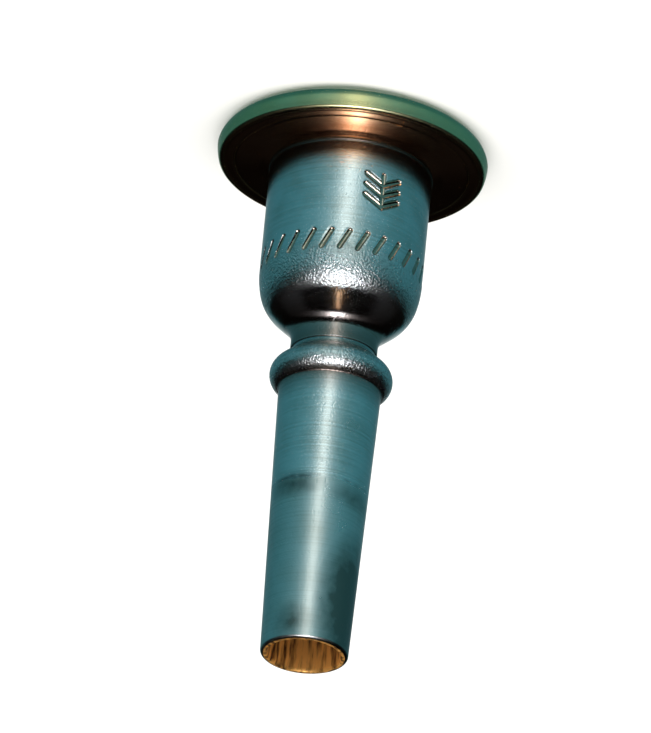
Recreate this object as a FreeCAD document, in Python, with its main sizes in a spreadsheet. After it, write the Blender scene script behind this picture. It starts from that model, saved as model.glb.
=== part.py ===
import FreeCAD, Part
import math
import os

import Sketcher

# A cornet mouthpiece of the screw-rim, separate-shank kind, standing on its rim.
# The row frame: millimetres, origin at the centre of the rim's crest plane,
# +Z along the bore towards the end of the shank.

# Driving dimensions. Each name is the alias of a cell in the sheet "Sizes".
SIZES = {
    # rim, outside
    "rim_radius": 13.50,
    "rim_widest_z": 1.20,
    "crest_inner_radius": 10.40,
    "crest_outer_radius": 11.95,
    "crest_round": 1.45,
    "wall_round": 2.60,
    "wall_end_radius": 13.12,
    "wall_end_z": 2.25,
    "corner_round": 0.38,
    "corner_radius": 12.72,
    "corner_z": 2.58,
    # rim, underside
    "line_radius": 11.65,
    "line_half_width": 0.08,
    "line_z": 2.67,
    "line_depth": 0.07,
    "cove_radius": 8.85,
    "cove_z": 2.94,
    "seat_radius": 8.55,
    "seat_z": 3.10,
    # rim, bowl and spigot
    "bite_radius": 7.90,
    "bite_z": 1.00,
    "bite_round": 3.00,
    "bowl_round": 100.0,
    "pilot_radius": 7.55,
    "pilot_top_z": 6.40,
    "spigot_top_z": 10.90,
    "bowl_joint_radius": 3.90,
    "edge_break": 0.10,
    # thread between rim and body
    "rim_pitch": 0.70,
    "rim_root_radius": 6.25,
    "rim_thread_depth": 0.40,
    "rim_crest_half_width": 0.06,
    "rim_thread_z": 7.45,
    "rim_thread_turns": 4.3,
    "flank_slope": 0.525,
    "thread_gap": 0.10,
    "flank_gap": 0.04,
    "thread_bury": 0.10,
    "groove_entry": 0.05,
    # body, outside
    "body_radius": 8.10,
    "lip_radius": 8.18,
    "lip_round": 0.08,
    "lip_top_z": 3.38,
    "shoulder_z": 14.85,
    "shoulder_round": 10.0,
    "turn_radius": 7.844,
    "turn_z": 17.10,
    "turn_round": 4.55,
    "slope_radius": 6.396,
    "slope_z": 19.51,
    "slope_end_radius": 5.10,
    "slope_end_z": 20.64,
    "neck_round": 2.24,
    "neck_radius": 4.33,
    "neck_z": 22.33,
    "neck_end_z": 23.30,
    "neck_break": 0.06,
    # body, inside
    "socket_gap": 0.05,
    "seal_step_z": 7.05,
    "relief_extra": 0.05,
    "rim_relief_z": 10.35,
    "socket_top_z": 11.05,
    "bowl_base_radius": 3.85,
    "funnel_radius": 2.75,
    "funnel_z": 13.20,
    "funnel_round": 4.50,
    "throat_radius": 2.30,
    "throat_z": 15.00,
    "neck_socket_z": 16.90,
    "neck_relief_z": 17.60,
    "neck_step_z": 21.15,
    # thread between body and shank
    "neck_pitch": 0.60,
    "neck_root_radius": 2.85,
    "neck_thread_depth": 0.35,
    "neck_crest_half_width": 0.05,
    "neck_thread_z": 17.35,
    "neck_thread_turns": 5.6,
    # shank
    "neck_pilot_radius": 3.75,
    "neck_pilot_z": 21.80,
    "shank_foot_z": 17.00,
    "flare_radius": 4.26,
    "flare_round": 1.60,
    "bead_start_radius": 5.196,
    "bead_start_z": 24.51,
    "bead_round": 1.60,
    "bead_end_radius": 5.271,
    "bead_end_z": 27.373,
    "bead_fillet": 0.25,
    "shank_top_radius": 5.095,
    "shank_top_z": 27.61,
    "shank_end_radius": 4.345,
    "shank_end_z": 56.28,
    "lip_edge": 0.32,
    "mouth_radius": 3.72,
    "mouth_chamfer_radius": 3.60,
    "mouth_depth": 0.40,
    "backbore_z": 19.50,
    # seals
    "body_seal_radius": 7.05,
    "body_seal_section": 0.30,
    "neck_seal_radius": 3.50,
    "neck_seal_section": 0.22,
    # engraving
    "stroke_radius": 0.32,
    "stroke_depth": 0.20,
}

BAND_STROKES = 28            # strokes in the rope border round the body
BAND_LOW_Z = 13.45
BAND_HIGH_Z = 15.30
BAND_SLANT_DEG = 6.5         # how far a stroke leans round the body
SPRIG_DEG = -24.0            # from the -Y side, turning towards +X
SPRIG_LOW_Z = 6.70
SPRIG_HIGH_Z = 10.30
LEAF_ROOTS_Z = (7.90, 9.05, 10.20)
LEAF_RISE = -1.05
LEAF_SPREAD_DEG = 13.0


class Length:
    """A size that carries its value and the sheet expression that gives it."""

    def __init__(self, value, text):
        self.value = value
        self.text = text

    def __add__(self, other):
        return Length(self.value + other.value, f"({self.text} + {other.text})")

    def __sub__(self, other):
        return Length(self.value - other.value, f"({self.text} - {other.text})")

    def __mul__(self, other):
        return Length(self.value * other.value, f"({self.text} * {other.text})")


def size(name):
    """The size in one cell of the sheet."""
    return Length(SIZES[name], f"Sizes.{name}")


def make_sheet(doc):
    """The spreadsheet that holds the driving dimensions."""
    sheet = doc.addObject("Spreadsheet::Sheet", "Sizes")
    for row, (name, value) in enumerate(SIZES.items(), start=1):
        sheet.set(f"A{row}", name)
        sheet.set(f"B{row}", str(value))
        sheet.setAlias(f"B{row}", name)
    doc.recompute()
    return sheet


def new_body(doc, name):
    """A body whose label is its node's name."""
    body = doc.addObject("PartDesign::Body", name)
    body.Label = name
    return body


def section_sketch(body, name):
    """A sketch on the body's XZ plane: its x is the radius and its y is the height."""
    sketch = body.newObject("Sketcher::SketchObject", name)
    plane = [f for f in body.Origin.OriginFeatures if f.Role == "XZ_Plane"][0]
    sketch.AttachmentSupport = [(plane, "")]
    sketch.MapMode = "FlatFace"
    return sketch


def arc_edge(start, end, radius, side):
    """A circular edge from start to end, its centre to the left (+1) or right (-1)."""
    chord = end - start
    middle = (start + end) * 0.5
    height = math.sqrt(radius**2 - (chord.Length / 2) ** 2)
    left = FreeCAD.Vector(-chord.y, chord.x, 0) / chord.Length
    centre = middle + left * (side * height)
    circle = Part.Circle(centre, FreeCAD.Vector(0, 0, 1), radius)
    first, last = (start, end) if side > 0 else (end, start)
    first_angle = math.atan2(first.y - centre.y, first.x - centre.x)
    last_angle = math.atan2(last.y - centre.y, last.x - centre.x)
    return Part.ArcOfCircle(circle, first_angle, last_angle)


def draw_outline(sketch, corners):
    """Draw a closed outline and bind every corner and radius to the sheet.

    A corner is (name, radius, height) for a straight edge that leads on from it,
    or (name, radius, height, bend, side) for an arc that leads on from it.
    """
    points = [FreeCAD.Vector(c[1].value, c[2].value, 0) for c in corners]
    starts = []
    ends = []
    for index, corner in enumerate(corners):
        here = points[index]
        there = points[(index + 1) % len(points)]
        if len(corner) == 3:
            edge = sketch.addGeometry(Part.LineSegment(here, there), False)
            starts.append((edge, 1))
            ends.append((edge, 2))
            continue
        bend, side = corner[3], corner[4]
        edge = sketch.addGeometry(arc_edge(here, there, bend.value, side), False)
        starts.append((edge, 1 if side > 0 else 2))
        ends.append((edge, 2 if side > 0 else 1))
        rule = sketch.addConstraint(Sketcher.Constraint("Radius", edge, bend.value))
        sketch.renameConstraint(rule, f"{corner[0]}_bend")
        sketch.setExpression(f"Constraints.{corner[0]}_bend", bend.text)
    for index, end in enumerate(ends):
        start = starts[(index + 1) % len(starts)]
        sketch.addConstraint(Sketcher.Constraint("Coincident", *end, *start))
    for corner, start in zip(corners, starts):
        for axis, length, tail in (("X", corner[1], "r"), ("Y", corner[2], "z")):
            if length is CREST:
                sketch.addConstraint(Sketcher.Constraint("PointOnObject", *start, -1))
                continue
            rule = sketch.addConstraint(
                Sketcher.Constraint(f"Distance{axis}", -1, 1, *start, length.value)
            )
            sketch.renameConstraint(rule, f"{corner[0]}_{tail}")
            sketch.setExpression(f"Constraints.{corner[0]}_{tail}", length.text)


def turn(body, corners):
    """Turn an outline a full circle about the bore's axis."""
    sketch = section_sketch(body, f"{body.Name}_outline")
    draw_outline(sketch, corners)
    revolution = body.newObject("PartDesign::Revolution", f"{body.Name}_turning")
    revolution.Profile = sketch
    revolution.ReferenceAxis = (sketch, ["V_Axis"])
    revolution.Angle = 360.0
    return revolution


def thread(body, kind, name, corners, pitch, turns):
    """A helical ridge (AdditiveHelix) or groove (SubtractiveHelix), right-handed."""
    sketch = section_sketch(body, f"{name}_profile")
    draw_outline(sketch, corners)
    helix = body.newObject(f"PartDesign::{kind}", name)
    helix.Profile = sketch
    helix.ReferenceAxis = (sketch, ["V_Axis"])
    helix.Mode = "pitch-turns-angle"
    helix.setExpression("Pitch", pitch.text)
    helix.setExpression("Turns", turns.text)
    return helix


def ridge_corners(root, depth, crest_half, centre):
    """A thread's trapezium, with its foot buried a little in the core."""
    foot_half = crest_half + (depth + BURY) * size("flank_slope")
    foot = root - BURY
    crest = root + depth
    return [
        ("foot_low", foot, centre - foot_half),
        ("crest_low", crest, centre - crest_half),
        ("crest_high", crest, centre + crest_half),
        ("foot_high", foot, centre + foot_half),
    ]


def groove_corners(root, depth, crest_half, centre):
    """The same trapezium with running gaps, open towards the bore."""
    gap = size("thread_gap")
    entry = size("groove_entry")
    floor_half = crest_half + size("flank_gap")
    mouth_half = floor_half + (depth + entry) * size("flank_slope")
    mouth = root + gap - entry
    floor = root + gap + depth
    return [
        ("mouth_low", mouth, centre - mouth_half),
        ("floor_low", floor, centre - floor_half),
        ("floor_high", floor, centre + floor_half),
        ("mouth_high", mouth, centre + mouth_half),
    ]


CREST = Length(0.0, "0")
BURY = size("thread_bury")
ONE_TURN = Length(1.0, "1")


def make_rim(doc):
    """The screw rim: playing surface, upper bowl and threaded spigot."""
    body = new_body(doc, "rim")
    edge = size("edge_break")
    root = size("rim_root_radius")
    line_r = size("line_radius")
    line_w = size("line_half_width")
    line_z = size("line_z")
    turn(body, [
        ("crest_in", size("crest_inner_radius"), CREST),
        ("crest_out", size("crest_outer_radius"), CREST, size("crest_round"), 1),
        ("widest", size("rim_radius"), size("rim_widest_z"), size("wall_round"), 1),
        ("wall_end", size("wall_end_radius"), size("wall_end_z"), size("corner_round"), 1),
        ("corner", size("corner_radius"), size("corner_z")),
        ("line_out", line_r + line_w, line_z),
        ("line_low", line_r, line_z - size("line_depth")),
        ("line_in", line_r - line_w, line_z),
        ("cove", size("cove_radius"), size("cove_z")),
        ("seat", size("seat_radius"), size("seat_z")),
        ("pilot_foot", size("pilot_radius"), size("seat_z")),
        ("pilot_edge", size("pilot_radius"), size("pilot_top_z") - edge),
        ("pilot_top", size("pilot_radius") - edge, size("pilot_top_z")),
        ("core_foot", root, size("pilot_top_z")),
        ("core_edge", root, size("spigot_top_z") - edge),
        ("core_top", root - edge, size("spigot_top_z")),
        ("bowl_end", size("bowl_joint_radius"), size("spigot_top_z"), size("bowl_round"), 1),
        ("bite", size("bite_radius"), size("bite_z"), size("bite_round"), 1),
    ])
    ridge = ridge_corners(
        root, size("rim_thread_depth"), size("rim_crest_half_width"), size("rim_thread_z")
    )
    turns = size("rim_thread_turns")
    thread(body, "AdditiveHelix", "rim_thread", ridge, size("rim_pitch"), turns)
    return body


def make_cup_turning(doc):
    """The body before engraving: outside, sockets, throat and both female threads."""
    body = new_body(doc, "cup_turning")
    gap = size("socket_gap")
    relief = size("relief_extra")
    thread_gap = size("thread_gap")
    upper_bore = size("rim_root_radius") + thread_gap
    upper_relief = upper_bore + size("rim_thread_depth") + relief
    lower_bore = size("neck_root_radius") + thread_gap
    lower_relief = lower_bore + size("neck_thread_depth") + relief
    upper_socket = size("pilot_radius") + gap
    lower_socket = size("neck_pilot_radius") + gap
    lip = size("lip_round")
    turn(body, [
        ("mouth", upper_socket, size("seat_z")),
        ("lip_foot", size("lip_radius") - lip, size("seat_z"), lip, 1),
        ("lip_side", size("lip_radius"), size("seat_z") + lip),
        ("lip_top", size("lip_radius"), size("lip_top_z"), lip, 1),
        ("wall_foot", size("body_radius"), size("lip_top_z") + lip),
        ("shoulder", size("body_radius"), size("shoulder_z"), size("shoulder_round"), 1),
        ("turn_in", size("turn_radius"), size("turn_z"), size("turn_round"), 1),
        ("slope", size("slope_radius"), size("slope_z")),
        ("slope_end", size("slope_end_radius"), size("slope_end_z"), size("neck_round"), -1),
        ("neck", size("neck_radius"), size("neck_z")),
        ("neck_edge", size("neck_radius"), size("neck_end_z") - size("neck_break")),
        ("neck_end", size("neck_radius") - size("neck_break"), size("neck_end_z")),
        ("lower_mouth", lower_socket, size("neck_end_z")),
        ("lower_step", lower_socket, size("neck_step_z")),
        ("lower_bore", lower_bore, size("neck_step_z")),
        ("lower_relief", lower_bore, size("neck_relief_z")),
        ("relief_wall", lower_relief, size("neck_relief_z")),
        ("relief_end", lower_relief, size("neck_socket_z")),
        ("throat_top", size("throat_radius"), size("neck_socket_z")),
        ("throat", size("throat_radius"), size("throat_z"), size("funnel_round"), -1),
        ("funnel", size("funnel_radius"), size("funnel_z")),
        ("bowl_base", size("bowl_base_radius"), size("socket_top_z")),
        ("upper_end", upper_relief, size("socket_top_z")),
        ("upper_relief", upper_relief, size("rim_relief_z")),
        ("upper_bore", upper_bore, size("rim_relief_z")),
        ("seal_step", upper_bore, size("seal_step_z")),
        ("seal_seat", upper_socket, size("seal_step_z")),
    ])
    pitch = size("rim_pitch")
    groove = groove_corners(
        size("rim_root_radius"),
        size("rim_thread_depth"),
        size("rim_crest_half_width"),
        size("rim_thread_z") - pitch,
    )
    turns = size("rim_thread_turns") + ONE_TURN
    thread(body, "SubtractiveHelix", "upper_thread", groove, pitch, turns)
    groove = groove_corners(
        size("neck_root_radius"),
        size("neck_thread_depth"),
        size("neck_crest_half_width"),
        size("neck_thread_z"),
    )
    turns = size("neck_thread_turns") + ONE_TURN
    thread(body, "SubtractiveHelix", "lower_thread", groove, size("neck_pitch"), turns)
    return body


def stroke_point(angle_deg, height):
    """A point on the stroke tool's axis, just outside the body's wall."""
    radius = SIZES["body_radius"] + SIZES["stroke_radius"] - SIZES["stroke_depth"]
    angle = math.radians(angle_deg)
    return FreeCAD.Vector(radius * math.sin(angle), -radius * math.cos(angle), height)


def stroke_tool(start, end):
    """A round-ended rod between two points: the shape of one struck line."""
    radius = SIZES["stroke_radius"]
    along = end - start
    rod = Part.makeCylinder(radius, along.Length, start, along)
    return rod.fuse([Part.makeSphere(radius, start), Part.makeSphere(radius, end)])


def make_engraving(doc):
    """The rope border round the body and the sprig beside it, as one cutting tool."""
    tools = []
    for index in range(BAND_STROKES):
        angle = 360.0 * index / BAND_STROKES
        low = stroke_point(angle - BAND_SLANT_DEG / 2, BAND_LOW_Z)
        high = stroke_point(angle + BAND_SLANT_DEG / 2, BAND_HIGH_Z)
        tools.append(stroke_tool(low, high))
    stem_low = stroke_point(SPRIG_DEG, SPRIG_LOW_Z)
    sprig = stroke_tool(stem_low, stroke_point(SPRIG_DEG, SPRIG_HIGH_Z))
    for root_z in LEAF_ROOTS_Z:
        root = stroke_point(SPRIG_DEG, root_z)
        for side in (-1, 1):
            tip = stroke_point(SPRIG_DEG + side * LEAF_SPREAD_DEG, root_z + LEAF_RISE)
            sprig = sprig.fuse(stroke_tool(root, tip))
    tools.append(sprig.removeSplitter())
    engraving = doc.addObject("Part::Feature", "engraving_tool")
    engraving.Shape = Part.Compound(tools)
    return engraving


def make_cup_body(doc):
    """The silvered body with its engraving cut in."""
    turning = make_cup_turning(doc)
    engraving = make_engraving(doc)
    cut = doc.addObject("Part::Cut", "cup_body")
    cut.Label = "cup_body"
    cut.Base = turning
    cut.Tool = engraving
    return cut


def make_shank(doc):
    """The shank: threaded spigot, bead, receiver taper and backbore."""
    body = new_body(doc, "shank")
    edge = size("edge_break")
    root = size("neck_root_radius")
    end_z = size("shank_end_z")
    lip = size("lip_edge")
    turn(body, [
        ("throat_foot", size("throat_radius"), size("shank_foot_z")),
        ("core_foot", root - edge, size("shank_foot_z")),
        ("core_edge", root, size("shank_foot_z") + edge),
        ("core_top", root, size("neck_pilot_z")),
        ("pilot_foot", size("neck_pilot_radius") - edge, size("neck_pilot_z")),
        ("pilot_edge", size("neck_pilot_radius"), size("neck_pilot_z") + edge),
        ("pilot_top", size("neck_pilot_radius"), size("neck_end_z")),
        ("flare", size("flare_radius"), size("neck_end_z"), size("flare_round"), -1),
        ("bead", size("bead_start_radius"), size("bead_start_z"), size("bead_round"), 1),
        ("bead_end", size("bead_end_radius"), size("bead_end_z"), size("bead_fillet"), -1),
        ("taper_top", size("shank_top_radius"), size("shank_top_z")),
        ("lip_side", size("shank_end_radius"), end_z - lip, lip, 1),
        ("lip_end", size("shank_end_radius") - lip, end_z),
        ("mouth", size("mouth_radius"), end_z),
        ("mouth_foot", size("mouth_chamfer_radius"), end_z - size("mouth_depth")),
        ("backbore", size("throat_radius"), size("backbore_z")),
    ])
    ridge = ridge_corners(
        root, size("neck_thread_depth"), size("neck_crest_half_width"), size("neck_thread_z")
    )
    turns = size("neck_thread_turns")
    thread(body, "AdditiveHelix", "shank_thread", ridge, size("neck_pitch"), turns)
    return body


def make_seal(doc, name, low_z, high_z):
    """A rubber ring half-way between the two faces that it seals."""
    ring = doc.addObject("Part::Torus", name)
    ring.Label = name
    ring.setExpression("Radius1", f"Sizes.{name}_radius")
    ring.setExpression("Radius2", f"Sizes.{name}_section")
    ring.setExpression("Placement.Base.z", f"(Sizes.{low_z} + Sizes.{high_z}) / 2")
    return ring


def check_document(doc, nodes):
    """Stop before anything is written if a feature failed or a piece is not sound."""
    for feature in doc.Objects:
        if "Invalid" in feature.State or "Error" in feature.State:
            raise RuntimeError(f"{feature.Name} failed: {feature.State}")
    for node in nodes:
        if node.Shape.isNull() or not node.Shape.isValid():
            raise RuntimeError(f"{node.Label} has no valid shape")
        if len(node.Shape.Solids) != 1:
            raise RuntimeError(f"{node.Label} has {len(node.Shape.Solids)} solids")


def main():
    """Build the document, check it, and write one STEP file for each piece."""
    doc = FreeCAD.newDocument("mouthpiece")
    make_sheet(doc)
    nodes = [
        make_rim(doc),
        make_seal(doc, "body_seal", "pilot_top_z", "seal_step_z"),
        make_cup_body(doc),
        make_seal(doc, "neck_seal", "neck_step_z", "neck_pilot_z"),
        make_shank(doc),
    ]
    doc.recompute()
    check_document(doc, nodes)
    os.makedirs("parts", exist_ok=True)
    for node in nodes:
        node.Shape.exportStep(f"parts/{node.Label}.step")
        print(f"{node.Label}: {node.Shape.Volume:.1f} mm3, {len(node.Shape.Faces)} faces")


main()
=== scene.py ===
"""Looks for a cornet mouthpiece: gilt screw rim, silvered cup body and silvered shank.

Each piece is turned in millimetres about the bore's axis, cut and rounded, and then
brought to metres in the shared frame, where it stands for its CAD node.
"""
import logging
import math
from dataclasses import dataclass, field
from enum import Enum

import bpy
from mathutils import Matrix, Vector


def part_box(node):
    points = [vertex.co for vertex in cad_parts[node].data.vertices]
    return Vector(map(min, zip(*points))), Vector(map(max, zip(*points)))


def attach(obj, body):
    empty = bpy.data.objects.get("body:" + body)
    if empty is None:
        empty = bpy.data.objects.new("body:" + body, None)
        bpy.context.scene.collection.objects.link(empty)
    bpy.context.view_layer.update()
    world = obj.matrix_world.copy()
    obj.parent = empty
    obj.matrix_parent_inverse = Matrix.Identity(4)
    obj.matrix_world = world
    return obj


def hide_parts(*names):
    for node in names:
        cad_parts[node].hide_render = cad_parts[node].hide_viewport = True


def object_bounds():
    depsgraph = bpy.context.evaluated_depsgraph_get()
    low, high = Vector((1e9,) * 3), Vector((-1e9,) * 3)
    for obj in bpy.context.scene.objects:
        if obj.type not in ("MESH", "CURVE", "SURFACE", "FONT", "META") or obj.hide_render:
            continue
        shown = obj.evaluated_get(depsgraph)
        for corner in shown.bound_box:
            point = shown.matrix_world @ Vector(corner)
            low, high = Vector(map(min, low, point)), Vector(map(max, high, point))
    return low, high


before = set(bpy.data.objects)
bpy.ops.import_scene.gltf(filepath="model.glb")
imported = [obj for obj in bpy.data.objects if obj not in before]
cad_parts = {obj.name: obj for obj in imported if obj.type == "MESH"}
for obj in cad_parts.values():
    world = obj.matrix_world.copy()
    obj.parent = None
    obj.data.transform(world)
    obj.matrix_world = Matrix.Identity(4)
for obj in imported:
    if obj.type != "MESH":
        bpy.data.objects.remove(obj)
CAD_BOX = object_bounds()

Socket = bpy.types.NodeSocket
Solid = bpy.types.Object

LOG = logging.getLogger("mouthpiece")
MM = 0.001                  # metres in a millimetre
TURN_STEPS = 240            # facets round a turned piece: 0.2 mm wide on the body
COIL_STEPS = 96             # facets in each turn of a thread
ROD_SIDES = 24              # facets round a striking rod
ROD_ROUNDING = 0.98         # of its radius, the rounding of each end
ROD_RINGS = 6               # facets across that rounding
NEAR = 0.01                 # mm, slack when faces are sorted by place
ARC_STEP_DEG = 4.0          # finest division of a turned curve
SMOOTH_DEG = 32.0           # faces that meet more steeply than this keep a crisp edge
EDGE_BREAK = 0.035          # mm, the burr taken off every turned edge
LENGTH_MM = 56.28           # mm, the whole mouthpiece along its bore
TRACK_SLANT = 1.31          # travel for each mm of radius, so that lines show on flat faces
QUARTER_TURN = 0.25         # turns a highlight's stretch from round the bore to along it
MERGE = 0.0004              # mm, points closer than this are one


class Lean(Enum):
    """Which side of its travel an arc has its centre on."""

    STRAIGHT = 0
    LEFT = 1
    RIGHT = -1


class Cut(Enum):
    """What a tool does to the piece that it meets."""

    ADD = "UNION"
    REMOVE = "DIFFERENCE"


@dataclass(frozen=True)
class Corner:
    """A corner of a turned outline, in mm, with the run that leads on from it."""

    r: float
    z: float
    bend: float = 0.0
    lean: Lean = Lean.STRAIGHT
    rings: int = 1

    def run_to(self, there: "Corner") -> list[Vector]:
        """Points from this corner up to the next one, which is left out.

        Args:
            there: The corner that the run ends at.

        Returns:
            Points in the XZ plane, in mm.
        """
        start, end = Vector((self.r, 0, self.z)), Vector((there.r, 0, there.z))
        if self.lean is Lean.STRAIGHT:
            return [start.lerp(end, i / self.rings) for i in range(self.rings)]
        chord = end - start
        left = Vector((-chord.z, 0, chord.x)).normalized() * self.lean.value
        height = math.sqrt(self.bend ** 2 - (chord.length / 2) ** 2)
        centre = (start + end) / 2 + left * height
        sweep = 2 * math.asin(chord.length / 2 / self.bend)
        parts = max(2, math.ceil(math.degrees(sweep) / ARC_STEP_DEG), math.ceil(chord.length))
        arm = start - centre
        spin = -self.lean.value * sweep
        return [centre + Matrix.Rotation(spin * i / parts, 3, "Y") @ arm for i in range(parts)]


def measured(part: str, end: int, axis: str) -> float:
    """One face of a part's CAD box, in mm: the lower end is 0 and the upper is 1."""
    return getattr(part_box(part)[end], axis) / MM


def edit_all() -> None:
    """Go into edit mode with everything selected."""
    bpy.ops.object.mode_set(mode="EDIT")
    bpy.ops.mesh.select_all(action="SELECT")


def leave_edit() -> None:
    """Go back to object mode."""
    bpy.ops.object.mode_set(mode="OBJECT")


def deselect_all() -> None:
    """Leave edit mode and let go of every object."""
    if bpy.context.mode != "OBJECT":
        leave_edit()
    bpy.ops.object.select_all(action="DESELECT")


def take(obj: Solid) -> None:
    """Make one object the only one selected and the active one."""
    deselect_all()
    obj.select_set(True)
    bpy.context.view_layer.objects.active = obj


def place_in_mesh() -> None:
    """Move the active object's place, turn and scale into its mesh."""
    bpy.ops.object.transform_apply(location=True, rotation=True, scale=True)


def point_at(name: str, place: Vector) -> Solid:
    """Start a piece as one point, in edit mode, by merging a small plane.

    Args:
        name: The new object's name.
        place: Where the point is, in mm.

    Returns:
        The new object, with its point selected.
    """
    deselect_all()
    bpy.ops.mesh.primitive_plane_add(size=1.0, location=place)
    obj = bpy.context.object
    obj.name = obj.data.name = name
    place_in_mesh()
    edit_all()
    bpy.ops.mesh.merge(type="CENTER")
    return obj


def draw(points: list[Vector]) -> None:
    """Extrude the selected point along a list of places, the first being where it is."""
    for here, there in zip(points, points[1:]):
        bpy.ops.mesh.extrude_region_move(TRANSFORM_OT_translate={"value": there - here})


def heal() -> None:
    """Merge doubled points and turn all faces outward, in edit mode."""
    bpy.ops.mesh.select_all(action="SELECT")
    bpy.ops.mesh.remove_doubles(threshold=MERGE)
    bpy.ops.mesh.normals_make_consistent(inside=False)


def modified(obj: Solid, kind: str, **settings: object) -> None:
    """Put a modifier on the active object and make its result the mesh.

    Args:
        obj: The active object.
        kind: The modifier's type.
        settings: Its properties.
    """
    bpy.ops.object.modifier_add(type=kind)
    modifier = obj.modifiers[-1]
    for name, value in settings.items():
        setattr(modifier, name, value)
    bpy.ops.object.modifier_apply(modifier=modifier.name)


def rounded(obj: Solid, width: float, segments: int) -> None:
    """Round every crisp edge of the active object.

    Args:
        obj: The active object.
        width: How far the rounding reaches from each edge, in mm.
        segments: Faces across each rounding.
    """
    modified(obj, "BEVEL", width=width, segments=segments, limit_method="ANGLE",
             angle_limit=math.radians(SMOOTH_DEG))


def turned(name: str, corners: list[Corner]) -> Solid:
    """Turn a closed outline a full circle, as on a lathe, and break its edges.

    Args:
        name: The new object's name.
        corners: The outline's corners, in order.

    Returns:
        The turned piece, in mm.
    """
    points = []
    for here, there in zip(corners, corners[1:] + corners[:1]):
        points += here.run_to(there)
    obj = point_at(name, points[0])
    draw(points + points[:1])
    bpy.ops.mesh.select_all(action="SELECT")
    bpy.ops.mesh.spin(steps=TURN_STEPS, angle=math.tau, center=(0, 0, 0), axis=(0, 0, 1))
    heal()
    leave_edit()
    rounded(obj, EDGE_BREAK, 2)
    return obj


def coiled(name: str, profile: list[Vector], pitch: float, turns: float) -> Solid:
    """Draw a thread's closed profile up a right-hand screw line.

    Args:
        name: The new object's name.
        profile: The profile's four corners, in mm, at the foot of the thread.
        pitch: Rise for each turn, in mm.
        turns: How many turns the thread makes.

    Returns:
        The coiled bar, in mm, with both ends closed.
    """
    steps = round(COIL_STEPS * turns)
    obj = point_at(name, profile[0])
    draw(profile + profile[:1])
    bpy.ops.mesh.select_all(action="SELECT")
    bpy.ops.mesh.remove_doubles(threshold=MERGE)
    leave_edit()
    modified(obj, "SCREW", axis="Z", angle=math.tau * turns, screw_offset=pitch * turns,
             steps=steps, render_steps=steps)
    bpy.ops.object.mode_set(mode="EDIT")
    bpy.ops.mesh.select_mode(type="EDGE")
    bpy.ops.mesh.select_all(action="DESELECT")
    bpy.ops.mesh.select_non_manifold()
    bpy.ops.mesh.fill_holes(sides=len(profile))
    bpy.ops.mesh.select_mode(type="VERT")
    heal()
    leave_edit()
    return obj


def worked(obj: Solid, tool: Solid, cut: Cut) -> None:
    """Cut a tool out of a piece, or weld it on, and put the tool away.

    Args:
        obj: The piece.
        tool: The tool, which is removed afterwards.
        cut: Whether the tool is taken away or added.
    """
    take(obj)
    modified(obj, "BOOLEAN", operation=cut.value, object=tool, solver="EXACT")
    bpy.data.objects.remove(tool)


@dataclass(frozen=True)
class ScrewLine:
    """A trapezium thread, in mm: the ridge on a spigot and the groove that it runs in."""

    root: float
    depth: float
    crest_half: float
    start_z: float
    pitch: float
    turns: float
    slope: float = 0.525
    bury: float = 0.10
    gap: float = 0.10
    flank_gap: float = 0.04
    entry: float = 0.05

    def ridge(self, name: str) -> Solid:
        """The coiled ridge, with its foot buried a little in the spigot's core."""
        foot_half = self.crest_half + (self.depth + self.bury) * self.slope
        foot, crest = self.root - self.bury, self.root + self.depth
        return coiled(name, self.section(foot, crest, foot_half, self.crest_half, 0.0),
                      self.pitch, self.turns)

    def groove(self, name: str, lead: float) -> Solid:
        """The coiled groove tool, with running gaps, open towards the bore.

        Args:
            name: The tool's name.
            lead: How far below the ridge's start the groove begins, in mm.

        Returns:
            The coiled tool, in mm.
        """
        floor_half = self.crest_half + self.flank_gap
        mouth_half = floor_half + (self.depth + self.entry) * self.slope
        mouth = self.root + self.gap - self.entry
        floor = self.root + self.gap + self.depth
        return coiled(name, self.section(mouth, floor, mouth_half, floor_half, lead),
                      self.pitch, self.turns + 1)

    def section(self, foot: float, top: float, foot_half: float, top_half: float,
                lead: float) -> list[Vector]:
        """The trapezium's four corners from its two radii and half widths, in mm."""
        z = self.start_z - lead
        return [Vector((foot, 0, z - foot_half)), Vector((top, 0, z - top_half)),
                Vector((top, 0, z + top_half)), Vector((foot, 0, z + foot_half))]


RIM_THREAD = ScrewLine(6.25, 0.40, 0.06, 7.45, 0.70, 4.3)
NECK_THREAD = ScrewLine(2.85, 0.35, 0.05, 17.35, 0.60, 5.6)


@dataclass(frozen=True)
class Stroke:
    """One struck line on the body's wall, between two places (degrees, height in mm)."""

    start: tuple[float, float]
    end: tuple[float, float]


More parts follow.
